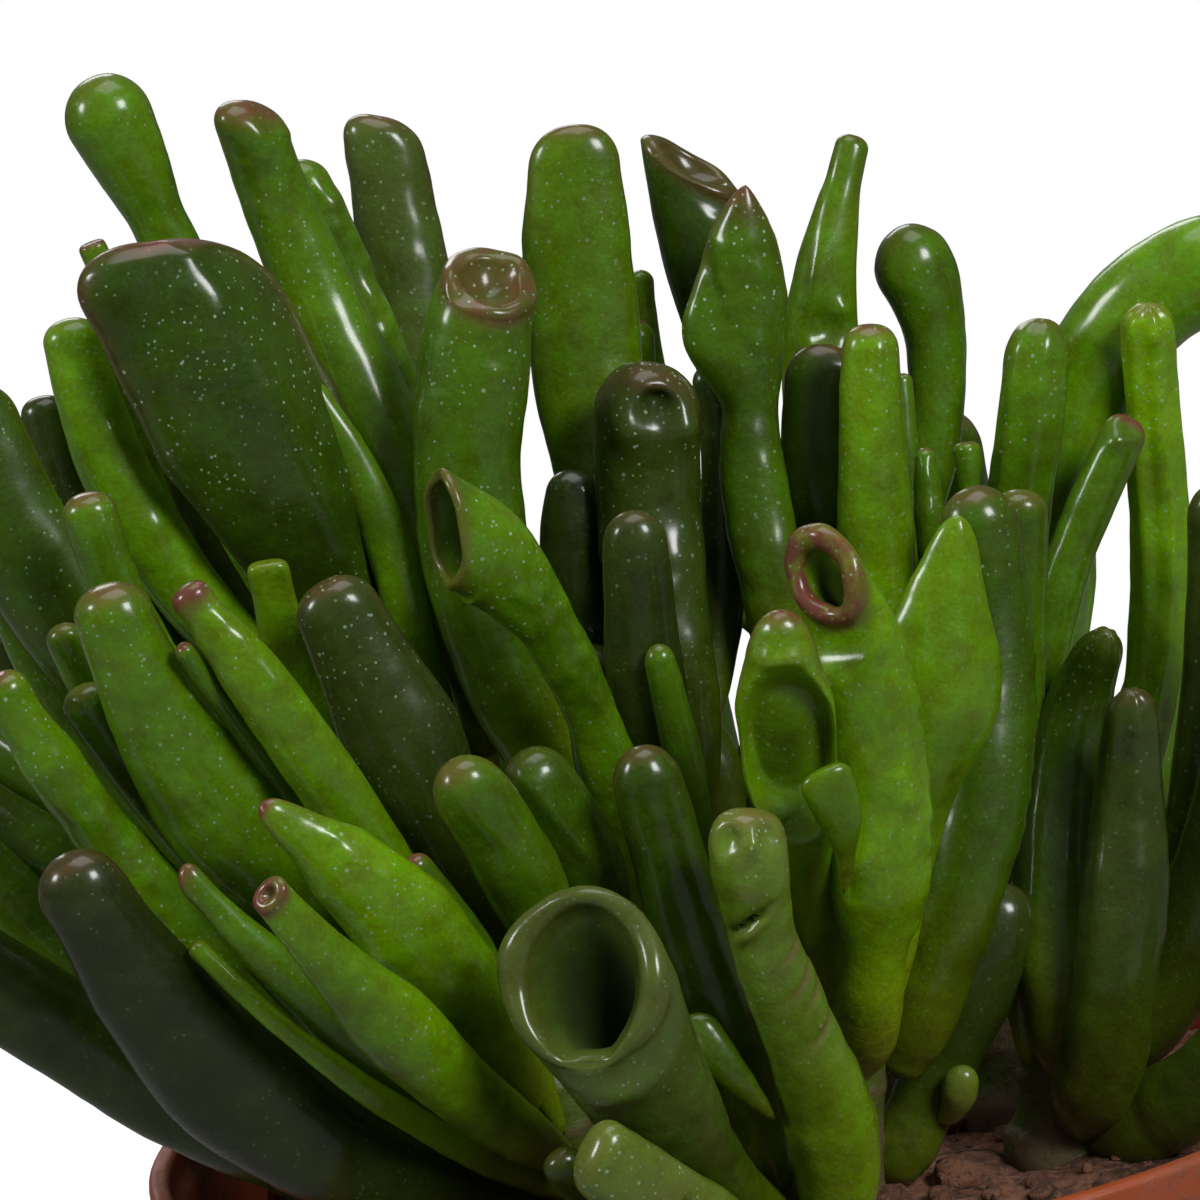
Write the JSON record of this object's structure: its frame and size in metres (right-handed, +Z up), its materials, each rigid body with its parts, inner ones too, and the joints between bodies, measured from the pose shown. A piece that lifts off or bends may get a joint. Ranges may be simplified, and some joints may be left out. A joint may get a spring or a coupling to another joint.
{
  "type": "potted jade plant",
  "caption": "Finger jade plant with crowded rolled, cupped and trumpet shaped leaves, in a round tapered plastic nursery pot filled with peat.",
  "frame": {"origin": "centre of the pot's underside", "axes": "+Z up, -Y towards the plant's front, +X to the right of someone facing the front"},
  "size_m": [0.1438, 0.1333, 0.208],
  "materials": {
    "pot_plastic": "satin",
    "peat": "matte",
    "stem_skin": "satin",
    "leaf_green": "gloss",
    "leaf_bright": "gloss",
    "leaf_dark": "gloss"
  },
  "bodies": {
    "root": {"leaf_amber_left": "leaf_green", "leaf_arching_right": "leaf_green", "leaf_big_left_front": "leaf_green", "leaf_broad_left": "leaf_green", "leaf_button_tip": "leaf_bright", "leaf_club_far_left": "leaf_green", "leaf_cracked_front": "leaf_dark", "leaf_crescent_left": "leaf_green", "leaf_crescent_right": "leaf_green", "leaf_cup_dark": "leaf_dark", "leaf_cup_tall": "leaf_green", "leaf_dark_far_right": "leaf_dark", "leaf_dark_front_left": "leaf_dark", "leaf_dark_inner": "leaf_dark", "leaf_dark_inner_left": "leaf_dark", "leaf_dark_left_back": "leaf_dark", "leaf_dark_low_left": "leaf_dark", "leaf_ear": "leaf_green", "leaf_finger_centre": "leaf_bright", "leaf_finger_left": "leaf_green", "leaf_finger_right": "leaf_green", "leaf_flat_bright": "leaf_bright", "leaf_front_slim": "leaf_green", "leaf_front_stub": "leaf_dark", "leaf_funnel_high": "leaf_green", "leaf_horn": "leaf_bright", "leaf_knob_tip": "leaf_bright", "leaf_long_red_tip": "leaf_bright", "leaf_low_left": "leaf_green", "leaf_low_right": "leaf_dark", "leaf_paddle": "leaf_bright", "leaf_pair_left": "leaf_green", "leaf_pair_right": "leaf_green", "leaf_pink_cup_right": "leaf_green", "leaf_red_tip_left": "leaf_green", "leaf_ridged_left": "leaf_green", "leaf_ring": "leaf_bright", "leaf_s_curve": "leaf_green", "leaf_slim_right": "leaf_bright", "leaf_spoon_high": "leaf_green", "leaf_spout": "leaf_bright", "leaf_striped_left": "leaf_green", "leaf_trumpet": "leaf_dark", "leaf_upright_right": "leaf_green", "leaf_upright_right_front": "leaf_dark", "leaf_wide_left": "leaf_green", "pot": "pot_plastic", "shoot_back_centre": "leaf_green", "shoot_back_left": "leaf_green", "shoot_back_right": "leaf_green", "soil": "peat", "stem_centre": "stem_skin", "stem_centre_back": "stem_skin", "stem_centre_right": "stem_skin", "stem_front": "stem_skin", "stem_front_left": "stem_skin", "stem_left": "stem_skin", "stem_left_back": "stem_skin", "stem_right": "stem_skin", "stem_right_back": "stem_skin"}
  },
  "joints": []
}
